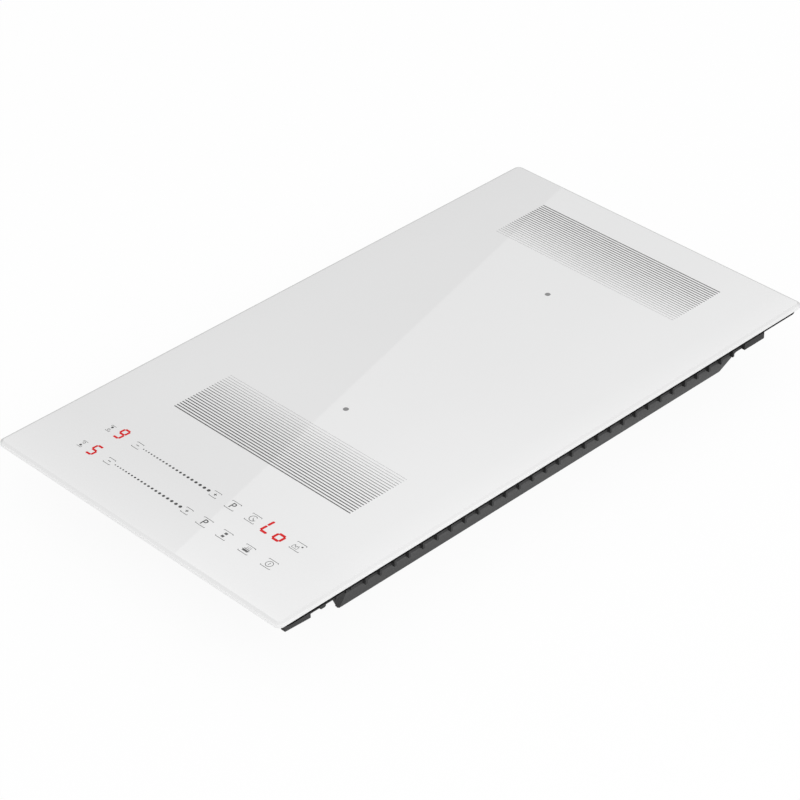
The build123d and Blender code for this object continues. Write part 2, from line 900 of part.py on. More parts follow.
def control_carrier():
    x = control_width / 2
    z1 = z_shelf_top + carrier_plate
    sheet = block(-x, x, control_front(), control_rear(), z_shelf_top, z1)
    posts = [rod(px, py, z_shelf_top, control_height(), control_edge) for px, py in control_holes()]
    window = block(
        -x + 3 * control_lap,
        x - 3 * control_lap,
        control_front() + 2 * control_lap,
        control_rear() - 2 * control_lap,
        z_shelf_top,
        z1,
    )
    pilot = screw_radius + screw_clearance
    holes = [rod(px, py, z_shelf_top, control_height(), pilot) for px, py in control_holes()]
    return (sheet - window + posts) - holes


def control_board():
    x = control_width / 2
    return board(-x, x, control_front(), control_rear(), control_height(), control_holes())


def control_screws():
    z = control_height() + board_thickness
    length = z - z_shelf - pilot_skin - screw_end_gap
    return [Pos(x, y, z) * screw(length) for x, y in control_holes()]


def key_places():
    places = []
    for row in (key_row_front, key_row_rear):
        for index in range(key_count):
            x = key_first + index * key_pitch
            on_display = row == key_row_rear and abs(x - x_timer) < timer_width / 2 + key_radius
            if not on_display:
                places.append((x, row))
    return places


def touch_springs():
    z0 = control_height() + board_thickness
    springs = []
    for x, y in key_places():
        spring = rod(x, y, z0, z_glass, key_radius)
        springs.append(spring - rod(x, y, z0, z_glass, key_radius - key_wall))
    return springs


def display(x, y, width):
    z0 = control_height() + board_thickness
    y0 = y - display_length / 2
    case = block(x - width / 2, x + width / 2, y0, y0 + display_length, z0, z0 + display_height)
    return chamfer(case.edges().group_by(Axis.Z)[-1], board_thickness / 4)


def buzzer():
    z0 = control_height() + board_thickness
    x = control_width / 2 - buzzer_radius
    y = (key_row_front + key_row_rear) / 2
    case = extrude(Pos(x, y, z0) * RegularPolygon(buzzer_radius, ring_side_count), amount=buzzer_height)
    return case - rod(x, y, z0 + buzzer_height / 2, z0 + buzzer_height, key_wall)


def terminal_row():
    return [x_terminal + offset for offset in slot_row(terminal_width, terminal_width / terminal_poles)]


def terminal_block():
    y0 = y_terminal - terminal_length / 2
    y1 = y_terminal + terminal_length / 2
    half = terminal_width / 2
    z1 = z_floor + terminal_height
    body = block(x_terminal - half, x_terminal + half, y0, y1, z_floor, z1)
    middle = (z_floor + z1) / 2
    entry_radius = terminal_width / terminal_poles / 4
    cuts = []
    for x in terminal_row():
        cuts.append(Pos(x, y1, middle) * Rot(90, 0, 0) * rod(0, 0, 0, terminal_length / 4, entry_radius))
        cuts.append(rod(x, y_terminal, middle, z1, screw_head + screw_clearance))
    return body - cuts


def terminal_screws():
    seat = z_floor + terminal_height / 2
    return [rod(x, y_terminal, seat, seat + 2 * screw_head_height, screw_head) for x in terminal_row()]


def terminal_cover():
    top = hatch_limits()[1]
    hinge_y, hinge_z = hinge_place()
    y0 = y_pan_rear + cover_gap
    y1 = y0 + cover_thickness
    half = hatch_width / 2 + cover_lap
    cover = block(x_terminal - half, x_terminal + half, y0, y1, hinge_z, top + cover_lap)
    cover = fillet(cover.edges().filter_by(Axis.Y).group_by(Axis.Z)[-1], cover_thickness)
    ear_middle = hinge_length / 2 + cover_gap + hinge_ear / 2
    room = hinge_ear / 2 + cover_gap
    notch_top = hinge_z + hinge_radius + cover_gap
    for middle in hinge_middles():
        for x in (middle - ear_middle, middle + ear_middle):
            cover = cover - block(x - room, x + room, y0, y1, hinge_z, notch_top)
        x0 = middle - hinge_length / 2
        web = block(x0, x0 + hinge_length, y0, hinge_y, hinge_z, hinge_z + hinge_radius)
        barrel = Pos(x0, hinge_y, hinge_z) * Rot(0, 90, 0) * rod(0, 0, 0, hinge_length, hinge_radius, 8)
        cover = cover + [web, barrel]
    pull_x = x_terminal - hinge_length / 2
    pull = block(pull_x, pull_x + hinge_length, y1, y1 + cover_thickness, top - cover_thickness, top)
    bore = Pos(x_terminal, hinge_y, hinge_z) * Rot(0, 90, 0)
    bore = bore * rod(0, 0, -half, half, hinge_pin + hinge_pin_clearance, 12)
    return cover + pull - bore


def hinge_pins():
    hinge_y, hinge_z = hinge_place()
    half = hinge_length / 2 + cover_gap + hinge_ear
    pin = Rot(0, 90, 0) * rod(0, 0, -half, half, hinge_pin, 12)
    return [Pos(middle, hinge_y, hinge_z) * pin for middle in hinge_middles()]


def cable_gland():
    # A bush with a hexagon flange outside, drawn along the hole in the rear wall.
    outer = gland_bore + gland_wall
    length = y_pan_rear - y_cavity_rear + 2 * gland_flange
    bush = rod(0, 0, 0, length, outer, 12) + rod(0, 0, 0, gland_flange, outer + gland_flange_reach)
    bush = bush - disc(0, 0, 0, length, gland_bore)
    return Pos(x_gland, y_pan_rear + gland_flange, gland_height()) * Rot(90, 0, 0) * bush


def gland_nut():
    outer = gland_bore + gland_wall
    nut = rod(0, 0, 0, gland_flange, outer + gland_flange_reach)
    nut = nut - rod(0, 0, 0, gland_flange, outer + screw_clearance, 12)
    return Pos(x_gland, y_cavity_rear, gland_height()) * Rot(90, 0, 0) * nut


def clamp_top():
    return z_shelf - clamp_gap


def worktop_clamp():
    # A stepped strap drawn from the side: pivot plate, leg down, arm outward.
    t = clamp_thickness
    tail = clamp_width / 2
    corners = [
        (-tail, 0),
        (clamp_leg, 0),
        (clamp_leg, -clamp_drop),
        (clamp_reach, -clamp_drop),
        (clamp_reach, -clamp_drop - t),
        (clamp_leg - t, -clamp_drop - t),
        (clamp_leg - t, -t),
        (-tail, -t),
    ]
    strap = along(outline(*corners), -clamp_width / 2, clamp_width / 2)
    tips = [edge for edge in strap.edges().filter_by(Axis.Z) if edge.length < t * 1.01]
    strap = chamfer(tips, clamp_width / 4)
    folds = [edge for edge in strap.edges().filter_by(Axis.Y) if near(edge.length, clamp_width)]
    bends = [edge for edge in folds if clamp_leg - 1.5 * t < edge.center().X < clamp_leg + t / 2]
    strap = chamfer(bends, clamp_bend)
    return strap - rod(0, 0, -t, 0, clamp_hole, 12)


def clamp_screws():
    length = 2 * clamp_gap + clamp_thickness + wall + screw_bite - screw_end_gap
    one = screw(length, clamp_screw_radius, clamp_screw_head, clamp_screw_head_height)
    seat = clamp_top() - clamp_thickness - clamp_gap
    return [Pos(x, y, seat) * Rot(180, 0, 0) * one for x, y, turn in clamp_places().values()]


def deck_screws():
    length = deck_thickness + wall - pilot_skin - screw_end_gap
    return [Pos(x, y, z_deck) * screw(length) for x, y in deck_holes()]


os.makedirs("parts", exist_ok=True)

save("glass_panel", glass_panel())
save("perimeter_seal", *perimeter_seal())
save("base_tray", base_tray())
save("glass_brackets", *glass_brackets())
save("bracket_screws", *bracket_screws())
save("coil_deck", coil_deck())
save("deck_screws", *deck_screws())

for zone, zone_y in zone_places.items():
    save(zone + "_coil_former", coil_former(zone_y))
    save(zone + "_coil_winding", coil_winding(zone_y))
    save(zone + "_coil_ferrites", *coil_ferrites(zone_y))
    save(zone + "_coil_pads", *coil_pads(zone_y))
    save(zone + "_coil_sheet", coil_sheet(zone_y))
    save(zone + "_coil_sensor", coil_sensor(zone_y))

save("power_board", power_board())
save("filter_board", filter_board())
save("board_screws", *board_screws())
save("heat_sink", heat_sink())
save("power_transistors", *power_transistors())
save("bridge_rectifier", bridge_rectifier())
save("film_capacitors", *film_capacitors())
save("bus_capacitor", bus_capacitor())
save("coil_posts", *coil_posts())
save("filter_choke", filter_choke())
save("filter_capacitor", filter_capacitor())
save("line_fuse", line_fuse())

save("fan_frame", fan_frame())
save("fan_stator", fan_stator())
save("fan_rotor", fan_rotor())
save("fan_screws", *fan_screws())

save("control_carrier", control_carrier())
save("control_board", control_board())
save("control_screws", *control_screws())
save("touch_springs", *touch_springs())
save("zone_displays", *[display(x_display, y, display_width) for y in (key_row_front, key_row_rear)])
save("timer_display", display(x_timer, key_row_rear, timer_width))
save("buzzer", buzzer())

save("terminal_block", terminal_block())
save("terminal_screws", *terminal_screws())
save("terminal_cover", terminal_cover())
save("hinge_pins", *hinge_pins())
save("cable_gland", cable_gland())
save("gland_nut", gland_nut())

for corner, (clamp_x, clamp_y, clamp_turn) in clamp_places().items():
    save("clamp_" + corner, Pos(clamp_x, clamp_y, clamp_top()) * Rot(0, 0, clamp_turn) * worktop_clamp())
save("clamp_screws", *clamp_screws())
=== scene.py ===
import json
import math

import bmesh
import bpy
from mathutils import Matrix, Vector


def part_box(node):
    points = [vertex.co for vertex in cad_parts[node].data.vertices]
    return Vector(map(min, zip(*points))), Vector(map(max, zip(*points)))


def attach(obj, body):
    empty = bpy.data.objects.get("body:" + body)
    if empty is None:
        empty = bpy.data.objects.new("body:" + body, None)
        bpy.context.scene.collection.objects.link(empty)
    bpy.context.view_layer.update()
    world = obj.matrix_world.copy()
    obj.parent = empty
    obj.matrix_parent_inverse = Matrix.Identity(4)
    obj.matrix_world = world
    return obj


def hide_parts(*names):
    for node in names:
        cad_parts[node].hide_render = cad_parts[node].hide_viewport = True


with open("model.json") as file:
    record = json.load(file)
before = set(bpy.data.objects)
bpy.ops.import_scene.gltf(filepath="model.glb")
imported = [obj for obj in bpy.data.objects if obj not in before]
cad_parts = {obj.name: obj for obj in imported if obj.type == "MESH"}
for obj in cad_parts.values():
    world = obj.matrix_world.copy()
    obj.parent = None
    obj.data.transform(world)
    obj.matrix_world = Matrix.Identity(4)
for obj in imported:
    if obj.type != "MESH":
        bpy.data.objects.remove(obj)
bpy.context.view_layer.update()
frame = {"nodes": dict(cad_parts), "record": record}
print("frame loaded:", len(frame["nodes"]), "nodes")

mm = 0.001


# Small helpers for working by hand with operators

def deselectAll():
    if bpy.context.mode != "OBJECT":
        bpy.ops.object.mode_set(mode="OBJECT")
    bpy.ops.object.select_all(action="DESELECT")


def makeActive(piece):
    deselectAll()
    piece.select_set(True)
    bpy.context.view_layer.objects.active = piece


def nameActive(name):
    piece = bpy.context.object
    piece.name = name
    piece.data.name = name
    return piece


def applyPlace(piece):
    makeActive(piece)
    bpy.ops.object.transform_apply(location=True, rotation=True, scale=True)


def addBlock(name, low, high):  # corners in metres
    deselectAll()
    bpy.ops.mesh.primitive_cube_add(size=1, location=(Vector(low) + Vector(high)) / 2)
    piece = nameActive(name)
    piece.scale = Vector(high) - Vector(low)
    applyPlace(piece)
    return piece


def editOnly(piece, kind, test):  # edit mode, with only what passes the test selected
    makeActive(piece)
    bpy.ops.object.mode_set(mode="EDIT")
    bpy.ops.mesh.select_mode(type=kind)
    bpy.ops.mesh.select_all(action="DESELECT")
    mesh = bmesh.from_edit_mesh(piece.data)
    for item in {"FACE": mesh.faces, "EDGE": mesh.edges}[kind]:
        item.select_set(test(item))
    mesh.select_flush_mode()
    bmesh.update_edit_mesh(piece.data)


def upright(edge):
    run = edge.verts[1].co - edge.verts[0].co
    return abs(run.z) > 0.99 * run.length


def facesUp(face):
    return face.normal.z > 0.99


def copyPiece(piece, place):  # each copy has its own mesh
    twin = piece.copy()
    twin.data = piece.data.copy()
    twin.data.transform(place)
    bpy.context.collection.objects.link(twin)
    return twin


def joinPieces(name, pieces):
    deselectAll()
    for piece in pieces:
        piece.select_set(True)
    bpy.context.view_layer.objects.active = pieces[0]
    bpy.ops.object.join()
    return nameActive(name)


def removePiece(piece):
    bpy.data.objects.remove(piece)


# Shader node groups shared by the finishes

def newGroup(name, inputs, outputs):
    group = bpy.data.node_groups.new(name, "ShaderNodeTree")
    for label, value in inputs.items():
        socket = group.interface.new_socket(label, in_out="INPUT", socket_type="NodeSocketFloat")
        socket.default_value = value
    for label in outputs:
        group.interface.new_socket(label, in_out="OUTPUT", socket_type="NodeSocketFloat")
    return group, group.nodes.new("NodeGroupInput"), group.nodes.new("NodeGroupOutput")


def addMath(tree, operation, first, second):  # a value or a socket on either side
    node = tree.nodes.new("ShaderNodeMath")
    node.operation = operation
    for socket, value in zip(node.inputs, (first, second)):
        if isinstance(value, (int, float)):
            socket.default_value = value
        else:
            tree.links.new(value, socket)
    return node.outputs["Value"]


def addNoise(tree, vector, scale, detail=2.0):
    noise = tree.nodes.new("ShaderNodeTexNoise")
    noise.inputs["Detail"].default_value = detail
    tree.links.new(vector, noise.inputs["Vector"])
    if isinstance(scale, (int, float)):
        noise.inputs["Scale"].default_value = scale
    else:
        tree.links.new(scale, noise.inputs["Scale"])
    return noise.outputs["Fac"]


def makeMouldGrain():  # spark-eroded skin of a moulding: small pits, slow drift in tone
    group, given, out = newGroup("mouldGrain", {"Scale": 2500.0, "Drift Scale": 9.0}, ["Height", "Drift"])
    place = group.nodes.new("ShaderNodeTexCoord").outputs["Object"]
    pits = group.nodes.new("ShaderNodeTexVoronoi")
    pits.feature = "SMOOTH_F1"
    group.links.new(place, pits.inputs["Vector"])
    group.links.new(given.outputs["Scale"], pits.inputs["Scale"])
    fine = addNoise(group, place, given.outputs["Scale"])
    group.links.new(addMath(group, "ADD", pits.outputs["Distance"], fine), out.inputs["Height"])
    group.links.new(addNoise(group, place, given.outputs["Drift Scale"], 4.0), out.inputs["Drift"])
    return group


def makeRolledLines():  # long thin marks of rolled or drawn metal, along Y
    group, given, out = newGroup("rolledLines", {"Scale": 900.0, "Stretch": 0.02}, ["Lines", "Drift"])
    place = group.nodes.new("ShaderNodeTexCoord").outputs["Object"]
    split = group.nodes.new("ShaderNodeSeparateXYZ")
    group.links.new(place, split.inputs["Vector"])
    along = addMath(group, "MULTIPLY", split.outputs["Y"], given.outputs["Stretch"])
    merged = group.nodes.new("ShaderNodeCombineXYZ")
    group.links.new(split.outputs["X"], merged.inputs["X"])
    group.links.new(along, merged.inputs["Y"])
    group.links.new(split.outputs["Z"], merged.inputs["Z"])
    group.links.new(addNoise(group, merged.outputs["Vector"], given.outputs["Scale"]), out.inputs["Lines"])
    group.links.new(addNoise(group, place, 40.0, 4.0), out.inputs["Drift"])
    return group


mouldGrain = makeMouldGrain()
rolledLines = makeRolledLines()


class Finish:  # a material under work: its tree, its shader and a few short ways to wire it
    def __init__(self, name, **sockets):
        self.material = bpy.data.materials.new(name)
        self.material.use_nodes = True
        self.tree = self.material.node_tree
        self.nodes = self.tree.nodes
        self.links = self.tree.links
        self.shader = self.nodes["Principled BSDF"]
        for label, value in sockets.items():
            self.shader.inputs[label].default_value = value

    def place(self):
        return self.nodes.new("ShaderNodeTexCoord").outputs["Object"]

    def group(self, tree, **values):
        node = self.nodes.new("ShaderNodeGroup")
        node.node_tree = tree
        for label, value in values.items():
            node.inputs[label.replace("_", " ")].default_value = value
        return node.outputs

    def ramp(self, value, stops):  # stops: place -> colour or grey
        node = self.nodes.new("ShaderNodeValToRGB")
        elements = node.color_ramp.elements
        while len(elements) < len(stops):
            elements.new(0.5)
        for element, (position, tone) in zip(elements, sorted(stops.items())):
            element.position = position
            colour = (tone,) * 3 if isinstance(tone, (int, float)) else tone
            element.color = (*colour, 1.0)
        self.links.new(value, node.inputs["Fac"])
        return node.outputs["Color"]

    def split(self, vector):
        node = self.nodes.new("ShaderNodeSeparateXYZ")
        self.links.new(vector, node.inputs["Vector"])
        return node.outputs

    def spread(self, value, stops, unit=1.0):  # a ramp whose stops may lie anywhere, not only from 0 to 1
        low, high = min(stops), max(stops)
        node = self.nodes.new("ShaderNodeMapRange")
        node.inputs["From Min"].default_value = low * unit
        node.inputs["From Max"].default_value = high * unit
        self.links.new(value, node.inputs["Value"])
        shares = {(stop - low) / (high - low): tone for stop, tone in stops.items()}
        return self.ramp(node.outputs["Result"], shares)

    def tint(self, colour, factor, share=None):
        node = self.nodes.new("ShaderNodeMix")
        node.data_type = "RGBA"
        node.blend_type = "MULTIPLY"
        node.inputs["Factor"].default_value = 1.0
        if share:
            self.links.new(share, node.inputs["Factor"])
        self.links.new(colour, node.inputs["A"])
        self.links.new(factor, node.inputs["B"])
        return node.outputs["Result"]

    def set(self, label, output):
        self.links.new(output, self.shader.inputs[label])

    def bump(self, height, depth, strength=1.0):
        node = self.nodes.new("ShaderNodeBump")
        node.inputs["Distance"].default_value = depth
        node.inputs["Strength"].default_value = strength
        self.links.new(height, node.inputs["Height"])
        self.set("Normal", node.outputs["Normal"])


def dress(piece, material):
    piece.data.materials.clear()
    piece.data.materials.append(material)


# White glass plate: rounded corners, ground bevel, polished top

glassPlate = {
    "cornerRadius": 4.5,
    "cornerSteps": 10,
    "bevelWidth": 2.2,
    "bevelHeight": 1.0,
    "arris": 0.25,
    "arrisSteps": 3,
    "arrisAngle": 18,
    "smoothAngle": 40,
    "inkHeight": 0.03,
    "white": (0.752, 0.752, 0.753),
    "whiteDrift": (0.762, 0.762, 0.763),
    "driftScale": 6.0,
    # painted light: the glass is painted lighter toward its front and right edges, where the light falls, by
    # place in mm
    "frontPaintedLight": {
        -260: 1.13, -254: 1.095, -240: 1.072, -220: 1.05, -200: 1.033, -60: 1.03, 60: 1.012, 180: 1.0,
    },
    "rightPaintedLight": {-144: 0.99, -110: 1.0, 40: 1.0, 120: 1.025, 137: 1.055, 144: 1.07},
    "paintedLightRightMask": {-245: 0.0, -175: 1.0},
    # painted light and shade on the ground edges: lighter or darker by the way they face the light
    "groundPaintedLightAcross": {-0.41: 0.7, 0.0: 1.0, 0.41: 0.93, 1.0: 0.97},
    "groundPaintedLightAlong": {-1.0: 1.1, -0.41: 0.945, 0.0: 1.0, 0.41: 0.72},
    "groundMask": {0.97: 1.0, 0.995: 0.0},
    "groundRoughness": 0.22,
    "polish": 0.008,
}
glassLow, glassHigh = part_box("glass_panel")
glassTop = glassHigh.z - glassPlate["inkHeight"] * mm


def whiteGlassFinish():
    finish = Finish("white_glass", IOR=1.5)
    drift = finish.ramp(
        finish.group(mouldGrain, Drift_Scale=glassPlate["driftScale"])["Drift"],
        {0.3: glassPlate["white"], 0.7: glassPlate["whiteDrift"]},
    )
    place = finish.split(finish.place())
    facing = finish.split(finish.nodes.new("ShaderNodeNewGeometry").outputs["Normal"])
    # painted light: the base colour is lifted toward the front and right edges
    tone = finish.tint(drift, finish.spread(place["Y"], glassPlate["frontPaintedLight"], mm))
    share = finish.spread(place["Y"], glassPlate["paintedLightRightMask"], mm)
    tone = finish.tint(tone, finish.spread(place["X"], glassPlate["rightPaintedLight"], mm), share)
    # painted light and shade: the ground edges are tinted by the way each face turns
    tone = finish.tint(tone, finish.spread(facing["X"], glassPlate["groundPaintedLightAcross"]))
    tone = finish.tint(tone, finish.spread(facing["Y"], glassPlate["groundPaintedLightAlong"]))
    finish.set("Base Color", tone)
    ground = finish.ramp(facing["Z"], glassPlate["groundMask"])
    rough = finish.nodes.new("ShaderNodeMapRange")
    rough.inputs["To Min"].default_value = glassPlate["polish"]
    rough.inputs["To Max"].default_value = glassPlate["groundRoughness"]
    finish.links.new(ground, rough.inputs["Value"])
    finish.set("Roughness", rough.outputs["Result"])
    return finish.material


def modelGlass():
    bevelFoot = glassTop - glassPlate["bevelHeight"] * mm
    plate = addBlock("glass_plate", glassLow, (glassHigh.x, glassHigh.y, bevelFoot))
    editOnly(plate, "EDGE", upright)
    bpy.ops.mesh.bevel(
        offset=glassPlate["cornerRadius"] * mm, segments=glassPlate["cornerSteps"], affect="EDGES"
    )
    editOnly(plate, "FACE", facesUp)
    bpy.ops.mesh.inset(thickness=glassPlate["bevelWidth"] * mm, depth=0)
    bpy.ops.transform.translate(value=(0, 0, glassPlate["bevelHeight"] * mm))
    bpy.ops.mesh.select_mode(type="EDGE")
    bpy.ops.mesh.select_all(action="DESELECT")
    bpy.ops.mesh.edges_select_sharp(sharpness=math.radians(glassPlate["arrisAngle"]))
    bpy.ops.mesh.bevel(
        offset=glassPlate["arris"] * mm, segments=glassPlate["arrisSteps"], affect="EDGES"
    )
    bpy.ops.object.mode_set(mode="OBJECT")
    bpy.ops.object.shade_smooth_by_angle(angle=math.radians(glassPlate["smoothAngle"]))
    weigh = plate.modifiers.new("evenShading", "WEIGHTED_NORMAL")
    weigh.keep_sharp = True
    bpy.ops.object.modifier_apply(modifier=weigh.name)
    dress(plate, whiteGlassFinish())
    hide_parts("glass_panel")
    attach(plate, "base")
    return plate


modelGlass()
print("glass plate ready")


# Printed marks: thin enamel on the glass, each shape modelled once at unit size

enamel = {
    "barRound": 0.04,
    "barSteps": 2,
    "dotSides": 28,
    "arcWeld": 0.002,
    "letterSwell": 0.004,
    "sheen": 0.25,
    "grain": 6000.0,
    "driftScale": 300.0,
    # tone and how far it drifts
    "dark": (0.055, 0.012),
    "grey": (0.08, 0.02),
    "pale": (0.21, 0.03),
}


def modelInkBar():  # a unit bar along X, corners slightly rounded
    bar = addBlock("ink_bar", (-0.5, -0.5, 0), (0.5, 0.5, glassPlate["inkHeight"] * mm))
    editOnly(bar, "EDGE", upright)
    bpy.ops.mesh.bevel(offset=enamel["barRound"], segments=enamel["barSteps"], affect="EDGES")
    bpy.ops.object.mode_set(mode="OBJECT")
    return bar


def modelInkDot():  # a unit disc
    deselectAll()
    bpy.ops.mesh.primitive_circle_add(vertices=enamel["dotSides"], radius=0.5, fill_type="NGON")
    dot = nameActive("ink_dot")
    editOnly(dot, "FACE", lambda face: True)
    bpy.ops.mesh.extrude_region_move(
        TRANSFORM_OT_translate={"value": (0, 0, glassPlate["inkHeight"] * mm)}
    )
    bpy.ops.mesh.select_all(action="SELECT")
    bpy.ops.mesh.normals_make_consistent(inside=False)
    bpy.ops.object.mode_set(mode="OBJECT")
    return dot


inkBar = modelInkBar()
inkDot = modelInkDot()


def onGlass(x, y):
    return Matrix.Translation((x * mm, y * mm, glassTop))


def layBar(start, end, width):  # ends in mm on the glass
    run = Vector(end) - Vector(start)
    middle = (Vector(start) + Vector(end)) / 2
    turn = Matrix.Rotation(math.atan2(run.y, run.x), 4, "Z")
    size = Matrix.Diagonal((run.length * mm, width * mm, 1, 1))
    return copyPiece(inkBar, onGlass(*middle) @ turn @ size)


def layDot(x, y, width, length=None):
    size = Matrix.Diagonal((width * mm, (length or width) * mm, 1, 1))
    return copyPiece(inkDot, onGlass(x, y) @ size)


def layArc(x, y, radius, width, start, sweep, steps=36):  # a flat ring or part of one, angles in degrees
    inner = (radius - width / 2) * mm
    height = glassPlate["inkHeight"] * mm
    deselectAll()
    bpy.ops.mesh.primitive_plane_add(size=1)
    arc = nameActive("ink_arc")
    stand = Matrix.Rotation(math.radians(90), 4, "X")
    size = Matrix.Diagonal((width * mm, 1, height, 1))
    first = Matrix.Rotation(math.radians(start), 4, "Z")
    shift = Matrix.Translation((inner + width / 2 * mm, 0, height / 2))
    arc.data.transform(onGlass(x, y) @ first @ shift @ size @ stand)
    editOnly(arc, "FACE", lambda face: True)
    bpy.ops.mesh.delete(type="ONLY_FACE")
    bpy.ops.mesh.select_mode(type="EDGE")
    bpy.ops.mesh.select_all(action="SELECT")
    bpy.ops.mesh.spin(
        steps=steps, angle=math.radians(sweep), center=(x * mm, y * mm, glassTop), axis=(0, 0, 1)
    )
    bpy.ops.mesh.select_all(action="SELECT")
    bpy.ops.mesh.remove_doubles(threshold=enamel["arcWeld"] * mm)
    bpy.ops.mesh.fill_holes(sides=4)
    bpy.ops.mesh.select_all(action="SELECT")
    bpy.ops.mesh.normals_make_consistent(inside=False)
    bpy.ops.object.mode_set(mode="OBJECT")
    return arc


def layLetter(letter, x, y, height):  # a plain sans letter, made mesh before it is placed
    deselectAll()
    bpy.ops.object.text_add()
    text = bpy.context.object
    text.data.body = letter
    text.data.align_x = "CENTER"
    text.data.align_y = "CENTER"
    text.data.extrude = glassPlate["inkHeight"] * mm / 2
    text.data.offset = enamel["letterSwell"]
    bpy.ops.object.convert(target="MESH")
    piece = nameActive("ink_letter")
    tall = max(v.co.y for v in piece.data.vertices) - min(v.co.y for v in piece.data.vertices)
    scale = height * mm / tall
    size = Matrix.Diagonal((scale, scale, 1, 1))
    rise = Matrix.Translation((0, 0, glassPlate["inkHeight"] * mm / 2))
    piece.data.transform(onGlass(x, y) @ rise @ size)
    return piece


def inkFinish(name, tone, drift):  # fired enamel, as glossy as the glass round it
    finish = Finish(name, **{"Specular IOR Level": enamel["sheen"], "Roughness": glassPlate["polish"] * 2})
    grain = finish.group(mouldGrain, Scale=enamel["grain"], Drift_Scale=enamel["driftScale"])["Drift"]
    finish.set("Base Color", finish.ramp(grain, {0.3: tone, 0.7: tone + drift}))
    return finish.material


darkInk = inkFinish("dark_enamel", *enamel["dark"])
greyInk = inkFinish("grey_enamel", *enamel["grey"])
paleInk = inkFinish("pale_enamel", *enamel["pale"])


def finishPrint(name, pieces, material):
    mark = joinPieces(name, pieces)
    dress(mark, material)
    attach(mark, "base")
    return mark


# Cooking zones: each a field of lines that thins out, with a dot at the middle

zoneField = {
    "left": -87.4,
    "right": 91.6,
    "lines": 22,
    "front": {"heavy": -147.6, "thin": -95.2},
    "rear": {"heavy": 228.4, "thin": 176.3},
    "heavyWidth": 0.91,
    "thinWidth": 0.14,
    "taper": 1.6,
    "dots": ((2.1, -66.9), (2.2, 138.3)),
    "dotWidth": 4.3,
}


def layStripes(name, heavy, thin):
    bars = []
    for index in range(zoneField["lines"]):
        share = index / (zoneField["lines"] - 1)
        y = heavy + (thin - heavy) * share
        loss = (zoneField["heavyWidth"] - zoneField["thinWidth"]) * share ** zoneField["taper"]
        width = zoneField["heavyWidth"] - loss
        bars.append(layBar((zoneField["left"], y), (zoneField["right"], y), width))
    return finishPrint(name, bars, darkInk)


layStripes("front_zone_stripes", **zoneField["front"])
layStripes("rear_zone_stripes", **zoneField["rear"])
finishPrint(
    "zone_centre_dots", [layDot(x, y, zoneField["dotWidth"]) for x, y in zoneField["dots"]], paleInk
)
print("zone marks ready")


# Power level sliders: dots that grow, between a minus and a plus

slider = {
    "rows": (-196.6, -221.8),
    "firstDot": -62.8,
    "dots": 20,
    "firstGap": 2.68,
    "lastGap": 4.44,
    "firstWidth": 1.12,
    "lastWidth": 2.6,
    "minus": -69.1,
    "plus": 11.6,
    "signWidth": 2.6,
    "signLine": 0.6,
    "boost": 29.25,
    "boostDrop": 0.4,
    "boostHeight": 5.8,
}


def layLevelDots():
    dots = []
    last = slider["dots"] - 1
    for row in slider["rows"]:
        x = slider["firstDot"]
        for index in range(slider["dots"]):
            share = index / last
            width = slider["firstWidth"] + (slider["lastWidth"] - slider["firstWidth"]) * share
            dots.append(layDot(x, row, width))
            x += slider["firstGap"] + (slider["lastGap"] - slider["firstGap"]) * index / (last - 1)
    return finishPrint("level_dots", dots, darkInk)


def laySigns():
    bars = []
    half = slider["signWidth"] / 2
    for row in slider["rows"]:
        for x in (slider["minus"], slider["plus"]):
            bars.append(layBar((x - half, row), (x + half, row), slider["signLine"]))
        bars.append(layBar((slider["plus"], row - half), (slider["plus"], row + half), slider["signLine"]))
    return finishPrint("slider_signs", bars, greyInk)


layLevelDots()
laySigns()
letterRows = [row - slider["boostDrop"] for row in slider["rows"]]
letters = [layLetter("P", slider["boost"], row, slider["boostHeight"]) for row in letterRows]
finishPrint("boost_letters", letters, darkInk)
print("sliders ready")


# Key frames: a thin line behind and in front of each key, with its ends turned inward

keyFrame = {
    "wide": {"length": 8.7, "away": 4.25},
    "small": {"length": 6.5, "away": 3.1},
    "line": 0.4,
    "tick": 0.8,
    "wideKeys": {-196.6: (29.25, 49.5, 93.4), -221.8: (29.25, 49.2, 71.3, 93.3)},
    "smallKeys": (-69.1, 11.6),
}


def frameKey(x, y, length, away):
    bars = []
    half = length / 2
    for side in (-1, 1):
        lineY = y + side * away
        bars.append(layBar((x - half, lineY), (x + half, lineY), keyFrame["line"]))
        for end in (-1, 1):
            tickX = x + end * half
            bars.append(layBar((tickX, lineY), (tickX, lineY - side * keyFrame["tick"]), keyFrame["line"]))
    return bars


def layKeyFrames():
    bars = []
    for row, keys in keyFrame["wideKeys"].items():
        for x in keys:
            bars += frameKey(x, row, **keyFrame["wide"])
        for x in keyFrame["smallKeys"]:
            bars += frameKey(x, row, **keyFrame["small"])
    return finishPrint("key_frames", bars, greyInk)


layKeyFrames()


# Key symbols: timer, lock, bridge, keep warm, power, and which zone a row is for

